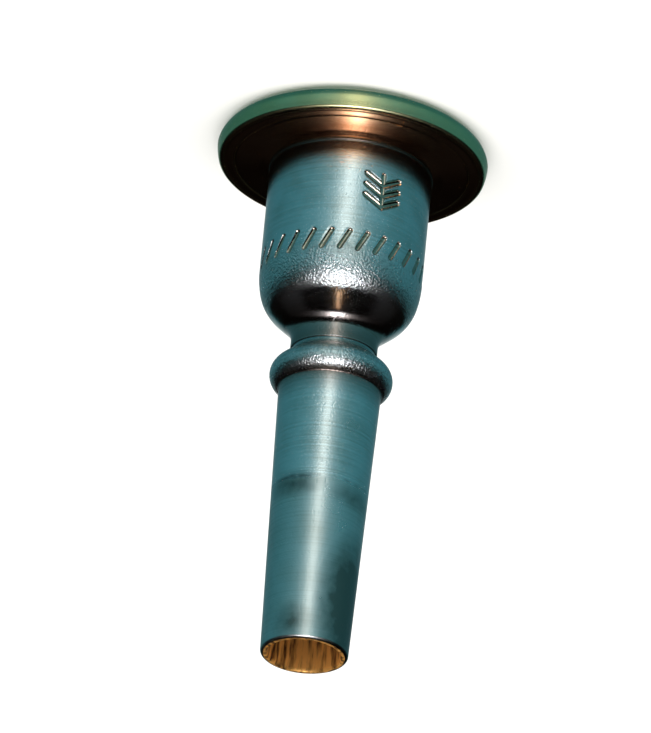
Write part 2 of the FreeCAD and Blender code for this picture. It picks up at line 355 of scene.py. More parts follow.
@dataclass(frozen=True)
class Punch:
    """A round-nosed punch that strikes lines into the body's wall, in mm.

    A flat, wide nose struck lightly makes the soft swell beside a line, and a narrow one
    struck deep makes the line itself.
    """

    wall: float
    half_width: float
    half_height: float
    depth: float

    def place(self, spot: tuple[float, float]) -> Vector:
        """Where the nose's centre goes so that it sinks to its depth in the wall.

        Args:
            spot: Angle from the -Y side towards +X in degrees, and height in mm.

        Returns:
            The centre, in mm.
        """
        radius = self.wall + self.half_height - self.depth
        angle = math.radians(spot[0])
        return Vector((radius * math.sin(angle), -radius * math.cos(angle), spot[1]))

    def rod(self, length: float) -> Solid:
        """A round-ended flattened rod up +Z: a bar with both its ends rounded right over.

        Args:
            length: The length between the centres of its ends, in mm.

        Returns:
            The rod, in mm, from the origin upwards, its flat side towards X.
        """
        nose = self.half_width
        deselect_all()
        bpy.ops.mesh.primitive_cylinder_add(vertices=ROD_SIDES, radius=nose, depth=length + 2 * nose,
                                            location=(0, 0, length / 2))
        obj = bpy.context.object
        place_in_mesh()
        rounded(obj, nose * ROD_ROUNDING, ROD_RINGS)
        edit_all()
        bpy.ops.transform.resize(value=(self.half_height / nose, 1, 1))
        leave_edit()
        return obj

    def strike(self, obj: Solid, lines: list[Stroke]) -> None:
        """Cut lines of one length that stand clear of each other into the wall.

        Args:
            obj: The piece, in mm.
            lines: The lines.
        """
        ends = [(self.place(line.start), self.place(line.end)) for line in lines]
        first = self.rod((ends[0][1] - ends[0][0]).length)
        rods = [first]
        for _ in lines[1:]:
            copy = first.copy()
            copy.data = first.data.copy()
            bpy.context.collection.objects.link(copy)
            rods.append(copy)
        for rod, (low, high) in zip(rods, ends):
            along = (high - low).normalized()
            out = Vector((low.x + high.x, low.y + high.y, 0))
            across = along.cross(out).normalized()
            out = across.cross(along)
            turn = Matrix((out, across, along)).transposed().to_4x4()
            rod.matrix_world = Matrix.Translation(low) @ turn
        deselect_all()
        for rod in rods:
            rod.select_set(True)
        bpy.context.view_layer.objects.active = first
        if len(rods) > 1:
            bpy.ops.object.join()
        place_in_mesh()
        worked(obj, first, Cut.REMOVE)


def linear(hex_colour: str) -> tuple[float, float, float, float]:
    """An sRGB hex colour as the linear colour that a shader works in.

    Args:
        hex_colour: The colour, such as "#c0c0c0".

    Returns:
        Red, green, blue and alpha, linear.
    """
    parts = [int(hex_colour[i:i + 2], 16) / 255 for i in (1, 3, 5)]
    light = [p / 12.92 if p <= 0.04045 else ((p + 0.055) / 1.055) ** 2.4 for p in parts]
    return (light[0], light[1], light[2], 1.0)


class Net:
    """A node tree, with the few moves that build a material or the room."""

    def __init__(self, tree: bpy.types.NodeTree) -> None:
        """Start from an emptied tree."""
        self.tree = tree
        tree.nodes.clear()

    def node(self, kind: str, settings: dict | None = None,
             inputs: dict | None = None) -> bpy.types.Node:
        """Add a node with its settings, and fill or link its inputs.

        Args:
            kind: The node's type.
            settings: Properties of the node itself.
            inputs: Socket name or number to a value, or to the output that feeds it.

        Returns:
            The new node.
        """
        new = self.tree.nodes.new(kind)
        for name, value in (settings or {}).items():
            setattr(new, name, value)
        for name, value in (inputs or {}).items():
            if isinstance(value, Socket):
                self.tree.links.new(value, new.inputs[name])
            else:
                new.inputs[name].default_value = value
        return new

    def ramp(self, factor: Socket, stops: tuple[tuple[float, str], ...]) -> Socket:
        """A colour ramp through hex stops.

        Args:
            factor: What drives it.
            stops: Position and colour of each stop, in order.

        Returns:
            The ramp's colour.
        """
        new = self.node("ShaderNodeValToRGB", inputs={"Fac": factor})
        elements = new.color_ramp.elements
        for _ in stops[2:]:
            elements.new(0.5)
        for element, (position, colour) in zip(elements, stops):
            element.position = position
            element.color = linear(colour)
        return new.outputs["Color"]

    def by_height(self, height: Socket, stops: tuple[tuple[float, float], ...]) -> Socket:
        """A value that changes with height along the bore.

        Args:
            height: The height, in mm.
            stops: Height in mm and value at each stop, in order.

        Returns:
            The value.
        """
        curve = self.node("ShaderNodeFloatCurve", inputs={
            "Value": self.maths("DIVIDE", height, LENGTH_MM)})
        line = curve.mapping.curves[0]
        line.points[0].location = (stops[0][0] / LENGTH_MM, stops[0][1])
        line.points[1].location = (stops[-1][0] / LENGTH_MM, stops[-1][1])
        for at, value in stops[1:-1]:
            line.points.new(at / LENGTH_MM, value)
        for point in line.points:
            point.handle_type = "VECTOR"
        curve.mapping.update()
        return curve.outputs[0]

    def maths(self, operation: str, *values: float | Socket, clamp: bool = False) -> Socket:
        """One sum, of numbers or outputs, held between 0 and 1 if clamped."""
        return self.node("ShaderNodeMath", {"operation": operation, "use_clamp": clamp},
                         dict(enumerate(values))).outputs[0]

    def plus(self, *values: float | Socket, clamp: bool = False) -> Socket:
        """The first value plus the second."""
        return self.maths("ADD", *values, clamp=clamp)

    def minus(self, *values: float | Socket, clamp: bool = False) -> Socket:
        """The first value less the second."""
        return self.maths("SUBTRACT", *values, clamp=clamp)

    def times(self, *values: float | Socket, clamp: bool = False) -> Socket:
        """The first value times the second."""
        return self.maths("MULTIPLY", *values, clamp=clamp)

    def over(self, value: Socket, floor: float, gain: float, clamp: bool = True) -> Socket:
        """How far a value stands over a floor, times a gain, between 0 and 1 if clamped."""
        return self.times(self.minus(value, floor), gain, clamp=clamp)

    def vectors(self, operation: str, first: Socket, second: tuple | Socket) -> Socket:
        """One sum on vectors or colours."""
        return self.node("ShaderNodeVectorMath", {"operation": operation},
                         {0: first, 1: second}).outputs[0]

    def scaled(self, vector: Socket, factor: float | Socket) -> Socket:
        """A vector or colour times a number."""
        return self.node("ShaderNodeVectorMath", {"operation": "SCALE"},
                         {0: vector, "Scale": factor}).outputs[0]

    def blend(self, factor: Socket, first: str | Socket, second: str | Socket) -> Socket:
        """Mix two colours, each a hex colour or an output, by the second one's share."""
        ends = [linear(c) if isinstance(c, str) else c for c in (first, second)]
        return self.node("ShaderNodeMix", {"data_type": "RGBA"},
                         {"Factor": factor, 6: ends[0], 7: ends[1]}).outputs[2]


@dataclass(frozen=True)
class Finish:
    """What every finish shares: its name, and sizes and colours in its own fields."""

    name: str

    def material(self) -> bpy.types.Material:
        """The finish as a material, made once and then shared."""
        found = bpy.data.materials.get(self.name)
        if found:
            return found
        made = bpy.data.materials.new(self.name)
        made.use_nodes = True
        net = Net(made.node_tree)
        shader = self.shader(net)
        net.node("ShaderNodeOutputMaterial", inputs={"Surface": shader.outputs[0]})
        return made

    def shader(self, net: Net) -> bpy.types.Node:
        """The finish's shader node; each finish makes its own."""
        raise NotImplementedError

    def millimetres(self, net: Net) -> Socket:
        """The surface point's place, in mm."""
        place = net.node("ShaderNodeTexCoord").outputs["Object"]
        return net.scaled(place, 1 / MM)

    def raised(self, net: Net, relief: Socket, unit: float = MM) -> Socket:
        """The surface's direction once a relief is on it, in mm unless a unit is given."""
        return net.node("ShaderNodeBump", inputs={
            "Height": relief, "Distance": unit, "Strength": 1.0}).outputs[0]

    def turned_metal(self, net: Net, colour: Socket, rough: float | Socket,
                     anisotropy: float, relief: Socket) -> bpy.types.Node:
        """Metal whose turning lines stretch a highlight along the bore.

        Args:
            net: The material's tree.
            colour: The metal's colour.
            rough: Its roughness.
            anisotropy: How much its highlights stretch.
            relief: Its relief, in mm.

        Returns:
            The shader node.
        """
        round_bore = net.node("ShaderNodeTangent", {"direction_type": "RADIAL", "axis": "Z"})
        return net.node("ShaderNodeBsdfPrincipled", inputs={
            "Base Color": colour, "Metallic": 1.0, "Roughness": rough,
            "Anisotropic": anisotropy, "Anisotropic Rotation": QUARTER_TURN,
            "Tangent": round_bore.outputs[0], "Normal": self.raised(net, relief)})

    def lathe_track(self, net: Net, place: Socket) -> tuple[Socket, ...]:
        """How far along the turned outline a point is: the tool's travel, in mm.

        Args:
            net: The material's tree.
            place: The point, in mm.

        Returns:
            The travel and the height, in mm.
        """
        split = net.node("ShaderNodeSeparateXYZ", inputs={0: place})
        x, y, z = (split.outputs[i] for i in range(3))
        flat = net.plus(net.times(x, x), net.times(y, y))
        inwards = net.times(net.maths("SQRT", flat), TRACK_SLANT)
        return net.minus(z, inwards), z

    def noise(self, net: Net, grain: float, detail: float, place: Socket | None = None,
              along: Socket | None = None) -> Socket:
        """Noise with a grain of a real size, from 0 to 1.

        Args:
            net: The material's tree.
            grain: The grain's width, in mm.
            detail: How many finer layers it has.
            place: The point in mm, for grain in all directions.
            along: A length in mm, for lines across it.

        Returns:
            The noise.
        """
        settings = {"noise_dimensions": "1D" if along else "3D"}
        inputs = {"W": along} if along else {"Vector": place}
        return net.node("ShaderNodeTexNoise", settings,
                        inputs | {"Scale": 1 / grain, "Detail": detail}).outputs["Fac"]


@dataclass(frozen=True)
class DarkPatch:
    """A darker patch, in mm, fading out from its middle."""

    middle: tuple[float, float, float]
    reach: float
    squash: float                   # 1 is round, more is flatter along the bore
    depth: float                    # darkening at the middle, before the breaks thin it by half

    def cover(self, net: Net, place: Socket) -> Socket:
        """How much the patch darkens each point, from 0 to its depth.

        Args:
            net: The material's tree.
            place: The point, in mm.

        Returns:
            The darkening.
        """
        off = net.vectors("MULTIPLY", net.vectors("SUBTRACT", place, self.middle),
                          (1.0, 1.0, self.squash))
        away = net.node("ShaderNodeVectorMath", {"operation": "LENGTH"},
                        {0: off}).outputs["Value"]
        fade = net.minus(1.0, net.maths("DIVIDE", away, self.reach), clamp=True)
        return net.times(fade, self.depth)


@dataclass(frozen=True)
class SilverPlate(Finish):
    """Silver plate over turned brass, hand polished: a soft bright satin.

    Fine lines left by the lathe run round every surface. They spread a highlight along
    the bore, so a pale window shows as a long streak down each wall. The shoulder and the
    bead are satin and glitter with fine pits, which hold a little brown stain. The hollows
    are brighter; brown painted shade darkens them, the lip where the body meets the rim and
    the shank just past the bead. Nicks and a faint yellow-grey bloom break up the rest.
    """

    plate: str = "#efefec"
    bloom: str = "#cfcbc0"
    tarnish: str = "#4a4038"
    # brown for the painted shade in the hollows, and for the stain in the pits
    shade_and_stain_brown: str = "#70462b"
    anisotropy: float = 0.35
    line_spacing: float = 0.22      # mm; drawn coarser than the real 0.05 mm so that it shows
    line_height: float = 0.0014     # mm
    pit_width: float = 0.20         # mm
    pit_depth: float = 0.085        # mm, where the plate is satin
    bloom_width: float = 3.5        # mm
    polish: tuple[tuple[float, float], ...] = (     # height in mm, roughness
        (0.0, 0.17), (5.0, 0.17), (6.2, 0.24), (14.5, 0.24), (15.0, 0.28), (18.6, 0.28),
        (19.3, 0.14), (23.4, 0.14), (24.0, 0.28), (27.1, 0.28), (27.8, 0.25), (56.28, 0.27))
    grain: tuple[tuple[float, float], ...] = (      # height in mm, share of the pits' depth
        (0.0, 0.10), (14.6, 0.12), (15.3, 1.0), (18.6, 1.0), (19.4, 0.10), (23.6, 0.10),
        (24.8, 1.0), (27.1, 1.0), (27.6, 0.12), (56.28, 0.12))
    painted_shade_and_stain: tuple[tuple[float, float], ...] = (       # height in mm, share of the brown painted shade
        (0.0, 0.80), (4.4, 0.78), (5.4, 0.30), (6.4, 0.0), (19.6, 0.0), (20.8, 0.60),
        (23.1, 0.75), (23.9, 0.0), (27.2, 0.0), (27.5, 0.75), (28.3, 0.45), (30.0, 0.0),
        (56.28, 0.0))
    worn: bool = False
    wear_z: float = 38.8            # mm, where the receiver has rubbed up to
    nick_width: float = 0.32        # mm
    nick_depth: float = 0.060       # mm
    nick_rarity: float = 0.68       # noise below this leaves no nick
    bloom_cut: tuple[float, float] = (0.42, 1.8)    # noise floor, and gain above it
    line_cut: tuple[float, float] = (0.46, 1.3)
    speck_cut: tuple[float, float] = (0.46, 4.0)
    break_cut: tuple[float, float] = (0.42, 4.0)
    speck_stain: float = 0.30
    rough_vary: float = 0.10
    waver: tuple[float, float] = (2.6, 0.9)         # the wear line's wave and swing, mm
    break_width: float = 1.1        # mm, of the gaps in the wear line and the smudges
    line_dark: float = 0.55
    line_sharpness: float = 4.5     # for each mm off the wear line
    rub_gain: float = 3.0           # for each mm past it
    dulling: float = 0.35
    dull_rough: float = 0.03
    rub_depth: float = 0.004        # mm
    dark_patches: tuple[DarkPatch, ...] = (
        DarkPatch((-3.9, -2.3, 51.8), 4.3, 0.50, 3.0), DarkPatch((1.6, -4.0, 54.6), 2.4, 1.0, 1.5),
        DarkPatch((2.8, -4.0, 39.7), 3.8, 2.4, 1.7), DarkPatch((-3.4, -3.4, 40.4), 3.2, 2.2, 1.2))

    def shader(self, net: Net) -> bpy.types.Node:
        """Bloom and pits over plain silver, with the lathe's lines as bump.

        Args:
            net: The material's tree.

        Returns:
            The shader node.
        """
        place = self.millimetres(net)
        travel, height = self.lathe_track(net, place)
        lines = self.noise(net, self.line_spacing, 3.0, along=travel)
        pits = self.noise(net, self.pit_width, 1.0, place=place)
        cloud = self.noise(net, self.bloom_width, 4.0, place=place)
        nicks = self.noise(net, self.nick_width, 0.0, place=place)
        grain = net.by_height(height, self.grain)
        patchy = net.over(cloud, *self.bloom_cut, clamp=False)
        lined = net.over(lines, *self.line_cut, clamp=False)
        colour = net.blend(net.plus(patchy, lined, clamp=True), self.plate, self.bloom)
        specks = net.times(net.over(pits, *self.speck_cut), grain)
        # painted brown shade by height in the hollows, plus a brown stain in the pits
        painted_shade_and_stain = net.plus(net.by_height(height, self.painted_shade_and_stain), net.times(specks, self.speck_stain),
                        clamp=True)
        colour = net.blend(painted_shade_and_stain, colour, self.shade_and_stain_brown)
        rough = net.plus(net.by_height(height, self.polish),
                         net.times(net.minus(cloud, 0.5), self.rough_vary))
        depth = net.times(grain, self.pit_depth)
        relief = net.plus(net.times(lines, self.line_height), net.times(pits, depth))
        nicks = net.minus(nicks, self.nick_rarity, clamp=True)
        relief = net.minus(relief, net.times(nicks, self.nick_depth))
        if self.worn:
            colour, rough, relief = self.wear(net, place, height, colour, rough, relief)
        return self.turned_metal(net, colour, rough, self.anisotropy, relief)

    def wear(self, net: Net, place: Socket, height: Socket, colour: Socket, rough: Socket,
             relief: Socket) -> tuple[Socket, ...]:
        """The shank's wear, the line where a receiver stops and dull beyond it, and darker patches.

        Args:
            net: The material's tree.
            place: The point, in mm.
            height: Its height, in mm.
            colour: The colour so far.
            rough: The roughness so far.
            relief: The relief so far, in mm.

        Returns:
            The worn colour, roughness and relief.
        """
        wave, swing = self.waver
        waver = net.times(self.noise(net, wave, 3.0, place=place), swing)
        above = net.plus(net.minus(height, self.wear_z + swing / 2), waver)
        rubbed = net.times(above, self.rub_gain, clamp=True)
        breaks = self.noise(net, self.break_width, 4.0, place=place)
        away = net.maths("ABSOLUTE", net.times(above, self.line_sharpness))
        line = net.times(net.minus(1.0, away, clamp=True), net.over(breaks, *self.break_cut))
        patch = self.dark_patches[0].cover(net, place)
        for dark_patch in self.dark_patches[1:]:
            patch = net.plus(patch, dark_patch.cover(net, place))
        patch = net.times(patch, net.plus(breaks, 0.15), clamp=True)
        dark = net.plus(net.times(line, self.line_dark), patch, clamp=True)
        colour = net.blend(dark, colour, self.tarnish)
        dull = net.blend(net.times(rubbed, self.dulling), colour, self.bloom)
        rough = net.plus(rough, net.times(rubbed, self.dull_rough))
        relief = net.minus(relief, net.times(rubbed, self.rub_depth))
        return dull, rough, relief


@dataclass(frozen=True)
class GoldPlate(Finish):
    """Gold plate over turned brass, buffed: a soft warm glow with rings from the lathe.

    It holds a blurred picture of what is round it and turns it yellow. Fine rings stretch
    its highlights towards and away from the bore, and rubbed patches are a little redder.
    """

    plate: str = "#e6dfa8"
    rubbed: str = "#dccb8c"
    roughness: float = 0.25
    anisotropy: float = 0.45
    line_spacing: float = 0.30      # mm; drawn coarser than the real 0.08 mm so that it shows
    line_height: float = 0.0010     # mm
    cloud_width: float = 4.0        # mm
    rub_cut: tuple[float, float] = (0.40, 2.0)      # noise floor, and gain above it

    def shader(self, net: Net) -> bpy.types.Node:
        """Slightly redder where fingers have rubbed, with rings as bump.

        Args:
            net: The material's tree.

        Returns:
            The shader node.
        """
        place = self.millimetres(net)
        travel, _ = self.lathe_track(net, place)
        lines = self.noise(net, self.line_spacing, 3.0, along=travel)
        cloud = self.noise(net, self.cloud_width, 3.0, place=place)
        colour = net.blend(net.over(cloud, *self.rub_cut), self.plate, self.rubbed)
        relief = net.times(lines, self.line_height)
        return self.turned_metal(net, colour, self.roughness, self.anisotropy, relief)


@dataclass(frozen=True)
class BareBrass(Finish):
    """Reamed brass inside the shank, never plated: golden, streaked with brown tarnish.

    The reamer leaves marks along the bore, and breath has stained them dark.
    """

    brass: str = "#e8a858"
    stain: str = "#3a1f0a"
    streak_width: float = 0.55      # mm across
    streak_length: float = 4.0      # mm along the bore
    streak_depth: float = 0.03      # mm
    stain_cut: tuple[float, float] = (0.42, 4.5)    # noise floor, and gain above it
    roughness: float = 0.30
    stain_rough: float = 0.12
    bare: float = 0.60              # share of clean metal; the rest is matt oxide

    def shader(self, net: Net) -> bpy.types.Node:
        """Stain in long streaks over brass, rougher and lower where it is stained.

        Args:
            net: The material's tree.

        Returns:
            The shader node.
        """
        place = self.millimetres(net)
        stretch = self.streak_width / self.streak_length
        drawn = net.vectors("MULTIPLY", place, (1.0, 1.0, stretch))
        streaks = self.noise(net, self.streak_width, 4.0, place=drawn)
        stained = net.over(streaks, *self.stain_cut)
        rough = net.plus(self.roughness, net.times(stained, self.stain_rough))
        return net.node("ShaderNodeBsdfPrincipled", inputs={
            "Base Color": net.blend(stained, self.brass, self.stain),
            "Metallic": self.bare, "Roughness": rough,
            "Normal": self.raised(net, streaks, self.streak_depth * MM)})


@dataclass(frozen=True)
class NitrileRubber(Finish):
    """Moulded black nitrile rubber: matt and dead black, with a faint grey bloom."""

    rubber: str = "#17171a"
    dust: str = "#3a3a3c"
    grain: float = 0.12             # mm
    grain_depth: float = 0.01       # mm
    bloom: float = 0.4
    roughness: float = 0.62
    ior: float = 1.52

    def shader(self, net: Net) -> bpy.types.Node:
        """Grey bloom over black, with a fine moulded grain.

        Args:
            net: The material's tree.

        Returns:
            The shader node.
        """
        grain = self.noise(net, self.grain, 2.0, place=self.millimetres(net))
        bloom = net.times(grain, self.bloom)
        return net.node("ShaderNodeBsdfPrincipled", inputs={
            "Base Color": net.blend(bloom, self.rubber, self.dust),
            "Roughness": self.roughness, "IOR": self.ior,
            "Normal": self.raised(net, grain, self.grain_depth * MM)})


@dataclass(frozen=True)
class PaleTable(Finish):
    """Smooth white laminate: matt, with a barely visible mottle."""

    white: str = "#f6f5f2"
    shade: str = "#f1f0ed"
    mottle: float = 18.0            # mm
    roughness: float = 0.8
    gloss: float = 0.1

    def shader(self, net: Net) -> bpy.types.Node:
        """A soft mottle between two whites.

        Args:
            net: The material's tree.

        Returns:
            The shader node.
        """
        cloud = self.noise(net, self.mottle, 3.0, place=self.millimetres(net))
        return net.node("ShaderNodeBsdfPrincipled", inputs={
            "Base Color": net.blend(cloud, self.white, self.shade),
            "Roughness": self.roughness, "Specular IOR Level": self.gloss})


@dataclass
class Piece:
    """A turned piece that stands for a CAD node."""

    part: str                       # the CAD node, which is also the body that it rides on
    label: str                      # the piece's own name
    slot: str                       # the record's material slot
    finishes: tuple[Finish, ...] = ()

    def build(self) -> Solid:
        """Model the piece in mm; each piece does this its own way."""
        raise NotImplementedError

    def second(self, place: Vector, facing: Vector) -> bool:
        """Whether a face at a place in mm, facing a way, has the piece's second finish."""
        raise NotImplementedError

    def make(self) -> Solid:
        """Model the piece, bring it to metres, dress it and hand it to its body.

        Returns:
            The finished piece.
        """
        obj = self.build()
        take(obj)
        bpy.ops.object.mode_set(mode="EDIT")
        heal()
        leave_edit()
        obj.data.materials.clear()
        for finish in self.finishes:
            obj.data.materials.append(finish.material())
        for face in obj.data.polygons:
            face.material_index = int(self.second(face.center, face.normal))
        obj.scale = (MM, MM, MM)
        place_in_mesh()
        bpy.ops.object.shade_smooth_by_angle(angle=math.radians(SMOOTH_DEG))
        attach(obj, self.part)
        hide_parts(self.part)
        LOG.info("%s stands for %s: %d faces, %d points", obj.name, self.part,
                 len(obj.data.polygons), len(obj.data.vertices))
        return obj


@dataclass
class ScrewRim(Piece):
    """The gilt rim: playing crest, grooved underside, pilot and threaded spigot, in mm."""

    part: str = "rim"
    label: str = "screw_rim"
    slot: str = "gold_plate"
    finishes: tuple[Finish, ...] = (
        GoldPlate("Gold plate, buffed"),
        GoldPlate("Gold plate, worn to the copper flash", plate="#f0be92", rubbed="#c98a5c",
                  roughness=0.14))
    radius: float = measured("rim", 1, "x")
    top_z: float = measured("rim", 1, "z")
    crest_in: float = 10.40
    crest_out: float = 11.95
    crest_bend: float = 1.45
    widest_z: float = 1.20
    wall_bend: float = 4.00
    wall_end: tuple[float, float] = (13.33, 2.20)
    corner_bend: float = 0.46
    corner_r: float = 12.72
    corner_z: float = 2.58
    line_r: float = 11.65
    line_half: float = 0.08
    line_depth: float = 0.07
    line_z: float = 2.67
    cove: tuple[float, float] = (8.85, 2.94)
    seat: tuple[float, float] = (8.55, 3.10)
    pilot_r: float = 7.55
    pilot_z: float = 6.40
    bowl_r: float = 3.90
    bowl_bend: float = 100.0
    bite: tuple[float, float] = (7.90, 1.00)
    bite_bend: float = 3.00
    edge: float = 0.10
    thread: ScrewLine = RIM_THREAD

    def build(self) -> Solid:
        """Turn the rim and weld its thread on."""
        edge = self.edge
        obj = turned(self.label, [
            Corner(self.crest_in, 0.0),
            Corner(self.crest_out, 0.0, self.crest_bend, Lean.LEFT),
            Corner(self.radius, self.widest_z, self.wall_bend, Lean.LEFT),
            Corner(*self.wall_end, self.corner_bend, Lean.LEFT),
            Corner(self.corner_r, self.corner_z, rings=3),
            Corner(self.line_r + self.line_half, self.line_z),
            Corner(self.line_r, self.line_z - self.line_depth),
            Corner(self.line_r - self.line_half, self.line_z, rings=6),
            Corner(*self.cove),
            Corner(*self.seat),
            Corner(self.pilot_r, self.seat[1], rings=4),
            Corner(self.pilot_r, self.pilot_z - edge),
            Corner(self.pilot_r - edge, self.pilot_z),
            Corner(self.thread.root, self.pilot_z, rings=6),
            Corner(self.thread.root, self.top_z - edge),
            Corner(self.thread.root - edge, self.top_z),
            Corner(self.bowl_r, self.top_z, self.bowl_bend, Lean.LEFT),
            Corner(*self.bite, self.bite_bend, Lean.LEFT),
        ])
        worked(obj, self.thread.ridge("rim_ridge"), Cut.ADD)
        return obj

    def second(self, place: Vector, facing: Vector) -> bool:
        """The underside and all that screws into the body are worn to the copper flash."""
        return place.z > self.corner_z - 2 * NEAR and place.xy.dot(facing.xy) > -NEAR


@dataclass
class CupBody(Piece):
    """The silvered body: lip, wall, shoulder, neck, sockets and throat, in mm."""

    part: str = "cup_body"
    label: str = "cup_body_turning"
    slot: str = "silver_plate"
    finishes: tuple[Finish, ...] = (
        SilverPlate("Silver plate, polished"),
        # The struck lines' floors are browner and darker: painted shade in the grooves, with a brown
        # stain.
        SilverPlate("Silver plate, struck, painted groove shade and stain", plate="#e2cfb8", bloom="#94755a",
                    anisotropy=0.0, polish=((0.0, 0.10), (56.28, 0.10)),
                    grain=((0.0, 0.15), (56.28, 0.15)), painted_shade_and_stain=((0.0, 0.18), (56.28, 0.18))))
    low_z: float = measured("cup_body", 0, "z")
    high_z: float = measured("cup_body", 1, "z")
    lip_r: float = measured("cup_body", 1, "x")
    wall_r: float = 8.10
    lip_round: float = 0.08
    lip_z: float = 3.38
    shoulder_z: float = 14.85
    turn: tuple[float, float] = (7.844, 17.10)
    slope: tuple[float, float] = (6.396, 19.51)
    slope_end: tuple[float, float] = (5.10, 20.64)
    neck: tuple[float, float] = (4.33, 22.33)
    shoulder_bend: float = 10.0
    turn_bend: float = 4.55
    neck_bend: float = 2.24
    throat_bend: float = 4.50
    mouth_edge: float = 0.06
    socket_r: float = 7.60
    seal_z: float = 7.05
    bore_r: float = 6.35
    relief_r: float = 6.80
    relief_z: float = 10.35
    socket_z: float = 11.05
    bowl_base_r: float = 3.85
    funnel: tuple[float, float] = (2.75, 13.20)
    throat: tuple[float, float] = (2.30, 15.00)
    lower_z: float = 16.90
    lower_relief: tuple[float, float] = (3.35, 17.60)
    lower_bore_r: float = 2.95
    lower_socket: tuple[float, float] = (3.80, 21.15)
    band_strokes: int = 28
    band: tuple[float, float] = (13.45, 15.30)
    band_slant_deg: float = 6.5
    sprig_deg: float = -24.0
    stem_z: tuple[float, float] = (6.70, 10.30)
    leaf_roots: tuple[float, ...] = (7.90, 9.05, 10.20)
    leaf_rise: float = -1.05
    leaf_spread_deg: float = 13.0
    swell: tuple[float, float, float] = (0.45, 0.10, 0.05)      # half width, height, depth
    nose: tuple[float, float, float] = (0.32, 0.32, 0.20)
    floor: tuple[float, float] = (0.06, 0.25)       # how deep a line's floor, with its painted shade and stain, lies

    def build(self) -> Solid:
        """Turn the body, cut both female threads, and strike the border and the sprig."""
        lip = self.lip_round
        obj = turned(self.label, [
            Corner(self.socket_r, self.low_z),
            Corner(self.lip_r - lip, self.low_z, lip, Lean.LEFT),
            Corner(self.lip_r, self.low_z + lip),
            Corner(self.lip_r, self.lip_z, lip, Lean.LEFT),
            Corner(self.wall_r, self.lip_z + lip, rings=46),
            Corner(self.wall_r, self.shoulder_z, self.shoulder_bend, Lean.LEFT),
            Corner(*self.turn, self.turn_bend, Lean.LEFT),
            Corner(*self.slope, rings=3),
            Corner(*self.slope_end, self.neck_bend, Lean.RIGHT),
            Corner(*self.neck, rings=3),
            Corner(self.neck[0], self.high_z - self.mouth_edge),
            Corner(self.neck[0] - self.mouth_edge, self.high_z),
            Corner(self.lower_socket[0], self.high_z, rings=3),
            Corner(*self.lower_socket),
            Corner(self.lower_bore_r, self.lower_socket[1], rings=6),
            Corner(self.lower_bore_r, self.lower_relief[1]),
            Corner(*self.lower_relief, rings=2),
            Corner(self.lower_relief[0], self.lower_z),
            Corner(self.throat[0], self.lower_z, rings=3),
            Corner(*self.throat, self.throat_bend, Lean.RIGHT),
            Corner(*self.funnel, rings=4),
            Corner(self.bowl_base_r, self.socket_z),
            Corner(self.relief_r, self.socket_z),
            Corner(self.relief_r, self.relief_z),
            Corner(self.bore_r, self.relief_z, rings=6),
            Corner(self.bore_r, self.seal_z),
            Corner(self.socket_r, self.seal_z, rings=4),
        ])
        worked(obj, RIM_THREAD.groove("upper_groove", RIM_THREAD.pitch), Cut.REMOVE)
        worked(obj, NECK_THREAD.groove("lower_groove", 0.0), Cut.REMOVE)
        for punch in (Punch(self.wall_r, *self.swell), Punch(self.wall_r, *self.nose)):
            for lines in (self.border(), self.stem(), self.leaves(-1), self.leaves(1)):
                punch.strike(obj, lines)
        return obj

    def second(self, place: Vector, facing: Vector) -> bool:
        """The floors of the struck lines are darker and browner: painted shade in the grooves, and a
        brown stain that polishing can't reach.
        """
        sunk = self.wall_r - place.xy.length
        return self.floor[0] < sunk < self.floor[1] and place.z < self.band[1] + 0.5

    def border(self) -> list[Stroke]:
        """The rope border: slanted strokes all the way round."""
        half = self.band_slant_deg / 2
        turns = [360.0 * i / self.band_strokes for i in range(self.band_strokes)]
        return [Stroke((a - half, self.band[0]), (a + half, self.band[1])) for a in turns]

    def stem(self) -> list[Stroke]:
        """The sprig's upright stem."""
        low, high = self.stem_z
        return [Stroke((self.sprig_deg, low), (self.sprig_deg, high))]

    def leaves(self, side: int) -> list[Stroke]:
        """The sprig's three leaves on one side, which is -1 or 1."""
        tip = self.sprig_deg + side * self.leaf_spread_deg
        return [Stroke((self.sprig_deg, z), (tip, z + self.leaf_rise)) for z in self.leaf_roots]


